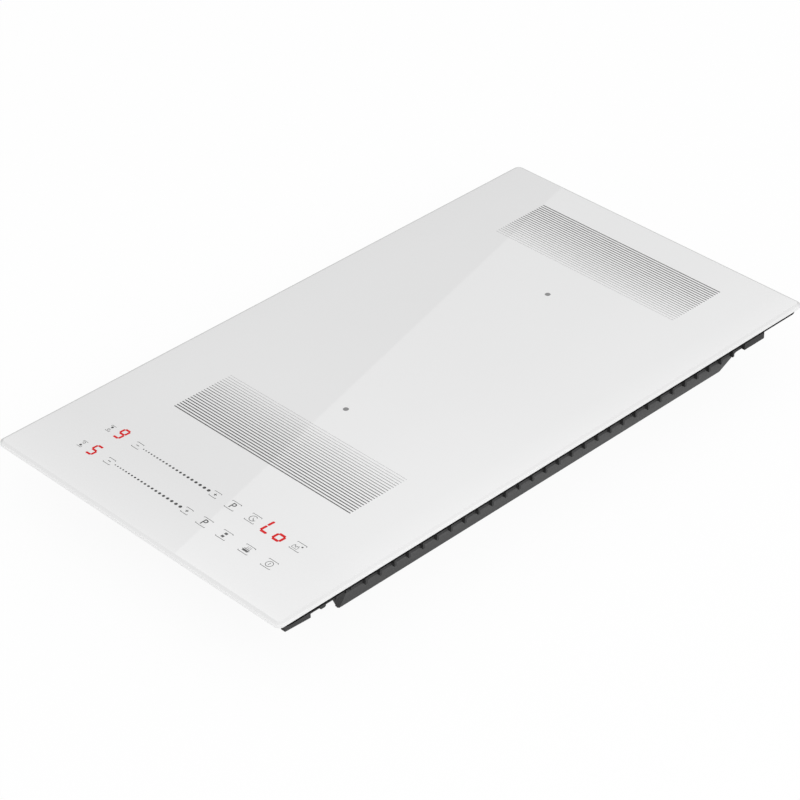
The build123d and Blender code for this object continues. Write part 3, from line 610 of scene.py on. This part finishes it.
symbols = {
    "timer": {
        "x": 49.5,
        "y": -196.6,
        "radius": 2.8,
        "line": 0.45,
        "start": -15,
        "sweep": 300,
        "hands": (((2.2, -2.0), 0.54), ((-0.4, 1.2), 0.27)),
    },
    "lock": {
        "x": 92.1,
        "y": -196.6,
        "half": 2.4,
        "drop": 2.7,
        "arch": 1.7,
        "archSteps": 18,
        "leg": 1.0,
        "line": 0.32,
        "lidLine": 0.192,
        "slot": ((-0.4, -1.3), (0.6, -1.3)),
        "slotLine": 0.256,
    },
    "lockDot": {"x": 95.9, "y": -195.0, "width": 1.5},
    "bridge": {"x": 49.2, "y": -221.8, "width": 2.5, "length": 2.0, "apart": 3.3},
    "warm": {
        "x": 71.3,
        "y": -221.8,
        # half width, rise and line of each bar
        "pot": ((2.6, -1.6, 1.5), (3.3, -0.9, 0.5), (2.6, 0.2, 0.6)),
        "steam": (-1.5, 0.0, 1.5),
        "steamFoot": (0.0, 1.0),
        "steamTip": (0.4, 3.0),
        "steamLine": 0.4,
    },
    "power": {"x": 93.3, "y": -221.8, "radius": 2.7, "line": 0.45, "stem": 1.485},
    "zone": {
        "x": -98.2,
        "length": 7.0,
        "width": 4.0,
        "tick": 1.4,
        "dot": 2.0,
        "ring": 0.9,
        "ringSteps": 24,
        "away": 1.6,
        "line": 0.37,
    },
}


def beside(x, y, step):
    return x + step[0], y + step[1]


def layTimer():
    key = symbols["timer"]
    x, y, radius, line = key["x"], key["y"], key["radius"], key["line"]
    hands = [layBar((x, y), beside(x, y, tip), width) for tip, width in key["hands"]]
    return [layArc(x, y, radius, line, key["start"], key["sweep"])] + hands


def layLock():
    key = symbols["lock"]
    x, y, half, line = key["x"], key["y"], key["half"], key["line"]
    low, high, arch = y - key["drop"], y + key["leg"], key["arch"]
    body = [(x - half, y), (x - half, low), (x + half, low), (x + half, y)]
    bars = [layBar(start, end, line) for start, end in zip(body, body[1:])]
    bars += [layBar((x + side * arch, y), (x + side * arch, high), line) for side in (-1, 1)]
    bars.append(layArc(x, high, arch, line, 0, 180, key["archSteps"]))
    bars.append(layBar((x - half, y), (x + half, y), key["lidLine"]))
    bars.append(layBar(*[beside(x, y, end) for end in key["slot"]], key["slotLine"]))
    dot = symbols["lockDot"]
    return bars + [layDot(dot["x"], dot["y"], dot["width"])]


def layBridge():
    key = symbols["bridge"]
    x, y, half = key["x"], key["y"], key["width"] / 2
    rows = (y - key["apart"] / 2, y + key["apart"] / 2)
    return [layBar((x - half, row), (x + half, row), key["length"]) for row in rows]


def layWarm():
    key = symbols["warm"]
    x, y = key["x"], key["y"]
    bars = []
    for half, rise, line in key["pot"]:
        bars.append(layBar((x - half, y + rise), (x + half, y + rise), line))
    for step in key["steam"]:
        ends = [beside(x + step, y, end) for end in (key["steamFoot"], key["steamTip"])]
        bars.append(layBar(*ends, key["steamLine"]))
    return bars


def layPower():
    key = symbols["power"]
    x, y, radius, line = key["x"], key["y"], key["radius"], key["line"]
    return [
        layArc(x, y, radius, line, 0, 360),
        layBar((x, y - key["stem"]), (x, y + key["stem"]), line),
    ]


def layZoneIcons():
    key = symbols["zone"]
    x, half, wide, line = key["x"], key["length"] / 2, key["width"] / 2, key["line"]
    marks = []
    dots = []
    for row, filled in zip(slider["rows"], (1, -1)):
        for end in (-1, 1):
            endY = row + end * half
            marks.append(layBar((x - wide, endY), (x + wide, endY), line))
            marks.append(layBar((x - end * wide, endY), (x - end * wide, endY - end * key["tick"]), line))
        dots.append(layDot(x, row + filled * key["away"], key["dot"]))
        marks.append(layArc(x, row - filled * key["away"], key["ring"], line, 0, 360, key["ringSteps"]))
    return marks, dots


zoneLines, zoneDots = layZoneIcons()
finishPrint("key_symbols", layTimer() + layLock() + layBridge() + layWarm() + layPower() + zoneLines, greyInk)
finishPrint("zone_symbol_dots", zoneDots, darkInk)
print("key symbols ready")


# Lit digits: seven bars each, seen red through the glass

digits = {
    "level": {"height": 12.4, "width": 6.9, "bar": 1.75, "lean": 3.0},
    "timer": {"height": 14.8, "width": 8.5, "bar": 2.05, "lean": 3.0},
    "gap": 0.6,
    "tipLength": 0.08,
    "tipWidth": 0.45,
    "shown": (
        ("9", "level", -87.5, -195.4),
        ("5", "level", -86.5, -220.7),
        ("L", "timer", 65.3, -195.1),
        ("o", "timer", 77.1, -195.4),
    ),
    "lit": {"9": "abcdfg", "5": "acdfg", "L": "def", "o": "cdeg"},
    "red": (0.62, 0.004, 0.006),
    "deepRed": (0.5, 0.002, 0.004),
    "driftScale": 500.0,
    "sheen": 0.1,
    "glow": 0.2,
}


def modelSegment():  # a unit bar along X whose ends narrow
    half = 0.5 - digits["tipLength"]
    bar = addBlock("lit_segment", (-half, -0.5, 0), (half, 0.5, glassPlate["inkHeight"] * mm))
    for side in (-1, 1):
        editOnly(bar, "FACE", lambda face: face.normal.x * side > 0.99)
        bpy.ops.mesh.extrude_region_move(
            TRANSFORM_OT_translate={"value": (digits["tipLength"] * side, 0, 0)}
        )
        bpy.ops.transform.resize(value=(1, digits["tipWidth"], 1))
    bpy.ops.object.mode_set(mode="OBJECT")
    return bar


segment = modelSegment()


def laySegments(sign, kind, x, y):
    size = digits[kind]
    halfX = (size["width"] - size["bar"]) / 2
    halfY = (size["height"] - size["bar"]) / 2
    corner = {"tl": (-halfX, halfY), "tr": (halfX, halfY), "ml": (-halfX, 0), "mr": (halfX, 0)}
    corner.update({"bl": (-halfX, -halfY), "br": (halfX, -halfY)})
    runs = {"a": ("tl", "tr"), "b": ("tr", "mr"), "c": ("mr", "br"), "d": ("bl", "br")}
    runs.update({"e": ("ml", "bl"), "f": ("tl", "ml"), "g": ("ml", "mr")})
    lean = Matrix.Identity(4)
    lean[0][1] = math.tan(math.radians(size["lean"]))
    bars = []
    for name in digits["lit"][sign]:
        start, end = [Vector(corner[key]) for key in runs[name]]
        run = end - start
        middle = (start + end) / 2
        turn = Matrix.Rotation(math.atan2(run.y, run.x), 4, "Z")
        scale = Matrix.Diagonal(((run.length - digits["gap"]) * mm, size["bar"] * mm, 1, 1))
        shift = Matrix.Translation((middle.x * mm, middle.y * mm, 0))
        bars.append(copyPiece(segment, onGlass(x, y) @ lean @ shift @ turn @ scale))
    return bars


def litRedFinish():
    finish = Finish(
        "lit_red", **{"Specular IOR Level": digits["sheen"], "Roughness": glassPlate["polish"] * 2}
    )
    grain = finish.group(mouldGrain, Drift_Scale=digits["driftScale"])["Drift"]
    colour = finish.ramp(grain, {0.3: digits["deepRed"], 0.7: digits["red"]})
    finish.set("Base Color", colour)
    finish.set("Emission Color", colour)
    finish.shader.inputs["Emission Strength"].default_value = digits["glow"]
    return finish.material


litRed = litRedFinish()
for kind in ("level", "timer"):
    bars = [bar for shown in digits["shown"] if shown[1] == kind for bar in laySegments(*shown)]
    finishPrint(kind + "_digits", bars, litRed)
for pattern in (inkBar, inkDot, segment):
    removePiece(pattern)
print("digits ready")


# Finishes of the pieces that come from the frame, one for each material slot

def plasticFinish(name, dark, light, grain, roughness, depth, sheen=0.5, index=1.5):
    finish = Finish(name, IOR=index, **{"Specular IOR Level": sheen})
    skin = finish.group(mouldGrain, Scale=grain)
    finish.set("Base Color", finish.ramp(skin["Drift"], {0.3: dark, 0.7: light}))
    finish.set("Roughness", finish.ramp(skin["Height"], {0.2: roughness + 0.08, 0.9: roughness - 0.05}))
    finish.bump(skin["Height"], depth)
    return finish.material


def metalFinish(name, dark, light, scale, roughness, depth=0.00001):
    finish = Finish(name, Metallic=1.0)
    marks = finish.group(rolledLines, Scale=scale)
    finish.set("Base Color", finish.ramp(marks["Drift"], {0.3: dark, 0.7: light}))
    finish.set("Roughness", finish.ramp(marks["Lines"], {0.3: roughness - 0.07, 0.7: roughness + 0.1}))
    finish.bump(marks["Lines"], depth)
    return finish.material


coilTurns = {
    "scale": 105.0,
    "waver": 0.4,
    "metal": 0.55,
    "copper": {0.1: (0.2, 0.07, 0.03), 0.6: (0.62, 0.3, 0.15)},
    "roughness": {0.0: 0.6, 1.0: 0.32},
    "depth": 0.0008,
}


def windingFinish(name, centre):  # turns of stranded wire round the middle of a coil
    finish = Finish(name, Metallic=coilTurns["metal"])
    mapping = finish.nodes.new("ShaderNodeMapping")
    mapping.inputs["Location"].default_value = (-centre.x, -centre.y, 0)
    finish.links.new(finish.place(), mapping.inputs["Vector"])
    turns = finish.nodes.new("ShaderNodeTexWave")
    turns.wave_type = "RINGS"
    turns.rings_direction = "Z"
    turns.inputs["Scale"].default_value = coilTurns["scale"]
    turns.inputs["Distortion"].default_value = coilTurns["waver"]
    finish.links.new(mapping.outputs["Vector"], turns.inputs["Vector"])
    finish.set("Base Color", finish.ramp(turns.outputs["Fac"], coilTurns["copper"]))
    finish.set("Roughness", finish.ramp(turns.outputs["Fac"], coilTurns["roughness"]))
    finish.bump(turns.outputs["Fac"], coilTurns["depth"])
    return finish.material


boardTracks = {
    "brick": {
        "Scale": 110.0,
        "Mortar Size": 0.06,
        "Color1": (0.012, 0.085, 0.03, 1),
        "Color2": (0.018, 0.11, 0.04, 1),
        "Mortar": (0.05, 0.2, 0.07, 1),
    },
    "roughness": 0.35,
    "depth": 0.00005,
}


def boardFinish():  # green mask over copper tracks
    finish = Finish("circuit_board", Roughness=boardTracks["roughness"])
    tracks = finish.nodes.new("ShaderNodeTexBrick")
    for label, value in boardTracks["brick"].items():
        tracks.inputs[label].default_value = value
    finish.links.new(finish.place(), tracks.inputs["Vector"])
    finish.set("Base Color", tracks.outputs["Color"])
    finish.bump(tracks.outputs["Fac"], boardTracks["depth"])
    return finish.material


def flakeFinish(name, dark, light, scale, roughness, depth=0.00005, sheen=0.5):  # pressed or fired grain
    finish = Finish(name, **{"Specular IOR Level": sheen})
    flakes = finish.nodes.new("ShaderNodeTexVoronoi")
    flakes.inputs["Scale"].default_value = scale
    finish.links.new(finish.place(), flakes.inputs["Vector"])
    distance = flakes.outputs["Distance"]
    finish.set("Base Color", finish.ramp(distance, {0.1: dark, 0.6: light}))
    finish.set("Roughness", finish.ramp(distance, {0.0: roughness - 0.05, 1.0: roughness + 0.1}))
    finish.bump(distance, depth)
    return finish.material


clearTube = {
    "index": 1.47,
    "clearness": 0.7,
    "smearScale": 260.0,
    "tint": {0.3: (0.8, 0.84, 0.84), 0.7: (0.9, 0.92, 0.92)},
    "roughness": {0.3: 0.05, 0.7: 0.14},
}


def glassTubeFinish():
    finish = Finish(
        "clear_tube", **{"IOR": clearTube["index"], "Transmission Weight": clearTube["clearness"]}
    )
    smear = addNoise(finish.tree, finish.place(), clearTube["smearScale"])
    finish.set("Base Color", finish.ramp(smear, clearTube["tint"]))
    finish.set("Roughness", finish.ramp(smear, clearTube["roughness"]))
    return finish.material


def glossFinish(name, dark, light, roughness, driftScale=70.0):
    finish = Finish(name)
    drift = finish.group(mouldGrain, Drift_Scale=driftScale)["Drift"]
    finish.set("Base Color", finish.ramp(drift, {0.3: dark, 0.7: light}))
    finish.set("Roughness", finish.ramp(drift, {0.3: roughness, 0.7: roughness + 0.06}))
    return finish.material


trayPlastic = {
    "dark": (0.011, 0.011, 0.0115),
    "light": (0.014, 0.014, 0.0145),
    "grain": 2600.0,
    "roughness": 0.95,
    "depth": 0.00003,
    "sheen": 1.0,
    "index": 1.57,
}

finishes = {
    "foam_seal": flakeFinish("foam_seal", (0.003,) * 3, (0.008,) * 3, 1400.0, 0.85, 0.0002, 0.05),
    "black_plastic": plasticFinish("black_plastic", **trayPlastic),
    "zinc_steel": metalFinish("zinc_steel", (0.5, 0.51, 0.53), (0.66, 0.67, 0.68), 700.0, 0.36),
    "aluminium_sheet": metalFinish("aluminium_sheet", (0.68, 0.69, 0.7), (0.78, 0.79, 0.8), 1100.0, 0.32),
    "grey_ferrite": flakeFinish("grey_ferrite", (0.05, 0.05, 0.055), (0.11, 0.11, 0.12), 2200.0, 0.6),
    "white_nylon": plasticFinish("white_nylon", (0.72, 0.72, 0.69), (0.8, 0.8, 0.77), 1800.0, 0.45, 0.00003),
    "silicone": plasticFinish("silicone", (0.4, 0.1, 0.07), (0.5, 0.14, 0.1), 1500.0, 0.6, 0.00005),
    "fibre_sheet": flakeFinish("fibre_sheet", (0.62, 0.58, 0.48), (0.8, 0.77, 0.68), 420.0, 0.7),
    "white_ceramic": flakeFinish("white_ceramic", (0.74, 0.72, 0.68), (0.82, 0.81, 0.77), 3000.0, 0.4),
    "circuit_board": boardFinish(),
    "black_epoxy": plasticFinish("black_epoxy", (0.012,) * 3, (0.022,) * 3, 3600.0, 0.55, 0.00003),
    "blue_case": glossFinish("blue_case", (0.03, 0.06, 0.22), (0.045, 0.09, 0.3), 0.25),
    "brass_contact": metalFinish("brass_contact", (0.6, 0.42, 0.16), (0.74, 0.56, 0.25), 800.0, 0.3),
    "clear_tube": glassTubeFinish(),
    "red_display": glossFinish("red_display", (0.07, 0.004, 0.004), (0.11, 0.008, 0.008), 0.18),
}


def dressFrame():
    for part in frame["record"]["subparts"]:
        node, slot = part["node"], part["material_slot"]
        if slot == "copper_wire":
            low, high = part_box(node)
            dress(frame["nodes"][node], windingFinish(node + "_turns", (low + high) / 2))
        elif slot in finishes:
            dress(frame["nodes"][node], finishes[slot])


dressFrame()


# Moulded edges: a live bevel rounds the tray and its small mouldings

softEdges = {
    "base_tray": 0.2,
    "terminal_cover": 0.3,
    "cable_gland": 0.3,
    "fan_frame": 0.3,
    "fan_rotor": 0.15,
    "clamp_front_left": 0.2,
    "clamp_front_right": 0.2,
    "clamp_rear_left": 0.2,
    "clamp_rear_right": 0.2,
}

edgeRounding = {
    "merge": 0.005,
    "flatAngle": 0.5,
    "sharpAngle": 35,
    "steps": 2,
    # broad faces shaded flat beside their rounds
    "evenFaces": ("terminal_cover", "cable_gland", "fan_frame"),
    "evenWeight": 100,
}


def softenEdges(node, radius):
    piece = frame["nodes"][node]
    weld = piece.modifiers.new("weld", "WELD")
    weld.merge_threshold = edgeRounding["merge"] * mm
    flat = piece.modifiers.new("flat", "DECIMATE")
    flat.decimate_type = "DISSOLVE"
    flat.angle_limit = math.radians(edgeRounding["flatAngle"])
    edge = piece.modifiers.new("edge", "BEVEL")
    edge.width = radius * mm
    edge.segments = edgeRounding["steps"]
    edge.limit_method = "ANGLE"
    edge.angle_limit = math.radians(edgeRounding["sharpAngle"])
    edge.harden_normals = False
    if node in edgeRounding["evenFaces"]:
        level = piece.modifiers.new("level", "WEIGHTED_NORMAL")
        level.weight = edgeRounding["evenWeight"]


for node, radius in softEdges.items():
    softenEdges(node, radius)
print("frame pieces dressed")


# Studio: pale floor, soft light and the view of the photograph

studio = {
    "floorSize": 8.0,
    "floorDrop": 0.3,
    "floorGrey": 0.95,
    "floorDrift": 0.01,
    "fibreScale": 300.0,
    "floorWhite": 0.94,
    "dome": 0.82,
    "keyPower": 22.0,
    "keySize": 1.4,
    "keyPlace": (2.3, -0.4, 1.5),
    # a dark card beside the tray, seen only by gloss that faces the cook
    "cardHeading": {0.05: 0.0, 0.6: 0.97},
    "cardReach": {-262: 0.0, -250: 1.0},
    "cardTop": {0.15: 1.0, 0.35: 0.0},
}


def fadeBetween(tree, value, ends, unit=1.0):
    (first, start), (last, end) = ends.items()
    node = tree.nodes.new("ShaderNodeMapRange")
    limits = {"From Min": first * unit, "From Max": last * unit, "To Min": start, "To Max": end}
    for label, amount in limits.items():
        node.inputs[label].default_value = amount
    tree.links.new(value, node.inputs["Value"])
    return node.outputs["Result"]


def seenDirectly(tree, paths):  # by the camera, or in a reflection or through glass
    seen = addMath(tree, "MAXIMUM", paths["Is Camera Ray"], paths["Is Glossy Ray"])
    return addMath(tree, "MAXIMUM", seen, paths["Is Transmission Ray"])


def cardShade(tree, heading, limit, paths):
    shade = addMath(tree, "MULTIPLY", fadeBetween(tree, heading, studio["cardHeading"]), limit)
    return addMath(tree, "MULTIPLY", shade, paths["Is Glossy Ray"])


def mixShaders(finish, factor, first, second=None):  # black where no second is given
    node = finish.nodes.new("ShaderNodeMixShader")
    finish.links.new(factor, node.inputs["Fac"])
    finish.links.new(first, node.inputs[1])
    if second:
        finish.links.new(second, node.inputs[2])
    return node.outputs["Shader"]


def floorFinish():
    finish = Finish("floor_paper", Roughness=0.9, **{"Specular IOR Level": 0.0})
    tree, nodes = finish.tree, finish.nodes
    grey = studio["floorGrey"]
    fibre = addNoise(tree, finish.place(), studio["fibreScale"])
    finish.set("Base Color", finish.ramp(fibre, {0.3: grey - studio["floorDrift"], 0.7: grey}))
    paths = nodes.new("ShaderNodeLightPath").outputs
    geometry = nodes.new("ShaderNodeNewGeometry").outputs
    share = addMath(tree, "MULTIPLY", seenDirectly(tree, paths), studio["floorWhite"])
    glow = nodes.new("ShaderNodeEmission").outputs["Emission"]
    surface = mixShaders(finish, share, finish.shader.outputs["BSDF"], glow)
    reach = fadeBetween(tree, finish.split(finish.place())["Y"], studio["cardReach"], mm)
    heading = finish.split(geometry["Incoming"])["Y"]
    surface = mixShaders(finish, cardShade(tree, heading, reach, paths), surface)
    clear = nodes.new("ShaderNodeBsdfTransparent").outputs["BSDF"]
    surface = mixShaders(finish, geometry["Backfacing"], surface, clear)
    finish.links.new(surface, nodes["Material Output"].inputs["Surface"])
    return finish.material


def makeFloor():
    deselectAll()
    bpy.ops.mesh.primitive_plane_add(
        size=studio["floorSize"], location=(0, 0, -studio["floorDrop"] * mm)  # clear of the underside
    )
    floor = nameActive("floor")
    applyPlace(floor)
    dress(floor, floorFinish())


def makeDome():
    world = bpy.data.worlds.new("studio_dome")
    bpy.context.scene.world = world
    world.use_nodes = True
    tree = world.node_tree
    paths = tree.nodes.new("ShaderNodeLightPath").outputs
    lift = addMath(tree, "MULTIPLY", seenDirectly(tree, paths), 1.0 - studio["dome"])
    level = addMath(tree, "ADD", lift, studio["dome"])
    ray = tree.nodes.new("ShaderNodeSeparateXYZ")
    tree.links.new(tree.nodes.new("ShaderNodeTexCoord").outputs["Generated"], ray.inputs["Vector"])
    heading = addMath(tree, "MULTIPLY", ray.outputs["Y"], -1.0)
    top = fadeBetween(tree, ray.outputs["Z"], studio["cardTop"])
    uncovered = addMath(tree, "SUBTRACT", 1.0, cardShade(tree, heading, top, paths))
    background = tree.nodes["Background"]
    tree.links.new(addMath(tree, "MULTIPLY", level, uncovered), background.inputs["Strength"])
    background.inputs["Color"].default_value = (1, 1, 1, 1)


def makeKeyLight():
    bpy.ops.object.light_add(type="AREA", location=studio["keyPlace"])
    lamp = bpy.context.object
    lamp.name = "key_softbox"
    lamp.data.energy = studio["keyPower"]
    lamp.data.size = studio["keySize"]
    lamp.rotation_mode = "QUATERNION"
    lamp.rotation_quaternion = Vector(studio["keyPlace"]).to_track_quat("Z", "Y")


# The view was fitted to the glass corners: angles in degrees, the rest in mm at the glass
viewFit = {
    "lens": 130.23,
    "azimuth": 46.386,
    "elevation": 34.932,
    "roll": -1.292,
    "across": 8.608,
    "up": 22.013,
    "distance": 2059.244,
    "sensor": 36.0,
    "farClip": 100000.0,
}


def viewAxes():
    a, e, r = [math.radians(viewFit[key]) for key in ("azimuth", "elevation", "roll")]
    back = Vector((math.sin(a) * math.cos(e), -math.cos(a) * math.cos(e), math.sin(e)))
    right = Vector((math.cos(a), math.sin(a), 0))
    up = back.cross(right)
    return (
        math.cos(r) * right + math.sin(r) * up,
        math.cos(r) * up - math.sin(r) * right,
        back,
    )


def makeCamera():
    right, up, back = viewAxes()
    shift = back * viewFit["distance"] - right * viewFit["across"] - up * viewFit["up"]
    place = shift * mm + Vector((0, 0, glassHigh.z))
    bpy.ops.object.camera_add(location=place)
    camera = bpy.context.object
    camera.name = "photo_view"
    camera.data.lens = viewFit["lens"]
    camera.data.sensor_width = viewFit["sensor"]
    camera.data.clip_end = viewFit["farClip"] * mm
    turn = Matrix((right, up, back)).transposed().to_4x4()
    camera.matrix_world = Matrix.Translation(place) @ turn
    bpy.context.scene.camera = camera
    return place


# A pale panel overhead that only the gloss sees: its edge falls across the glass as in the photograph
panel = {
    "edge": ((-95.6, 258.6), (41.5, -260.6)),
    "height": 1.2,
    "reach": 1.0,
    "overrun": 0.2,
    "glow": 1.76,
    "acrossGlow": 0.4,
    "alongGlow": 0.35,
}


def panelGlow():
    glow = bpy.data.materials.new("panel_glow")
    glow.use_nodes = True
    tree = glow.node_tree
    light = tree.nodes.new("ShaderNodeEmission")
    place = tree.nodes.new("ShaderNodeSeparateXYZ")
    tree.links.new(tree.nodes.new("ShaderNodeTexCoord").outputs["Object"], place.inputs["Vector"])
    across = addMath(tree, "MULTIPLY", place.outputs["Y"], panel["acrossGlow"])
    along = addMath(tree, "MULTIPLY", place.outputs["X"], panel["alongGlow"])
    fade = addMath(tree, "ADD", across, along)
    tree.links.new(addMath(tree, "ADD", fade, panel["glow"]), light.inputs["Strength"])
    tree.links.new(light.outputs["Emission"], tree.nodes["Material Output"].inputs["Surface"])
    return glow


def hangPanel(eye):
    mirrored = Vector((eye.x, eye.y, 2 * glassTop - eye.z))
    ends = []
    for x, y in panel["edge"]:
        ray = Vector((x * mm, y * mm, glassTop)) - mirrored
        ends.append(mirrored + ray * ((panel["height"] - mirrored.z) / ray.z))
    run = (ends[1] - ends[0]).normalized()
    side = Vector((-run.y, run.x, 0))
    middle = (ends[0] + ends[1]) / 2
    half = (ends[1] - ends[0]).length / 2 + panel["overrun"]
    deselectAll()
    bpy.ops.mesh.primitive_plane_add(size=1)
    card = nameActive("gloss_panel")
    turn = Matrix((run, side, Vector((0, 0, 1)))).transposed().to_4x4()
    size = Matrix.Diagonal((2 * half, panel["reach"], 1, 1))
    card.matrix_world = Matrix.Translation(middle + side * panel["reach"] / 2) @ turn @ size
    dress(card, panelGlow())
    card.visible_camera = False
    card.visible_diffuse = False
    card.visible_shadow = False
    card.visible_transmission = False


makeFloor()
makeDome()
makeKeyLight()
hangPanel(makeCamera())
bpy.context.scene.view_settings.view_transform = "Standard"
print("studio ready")
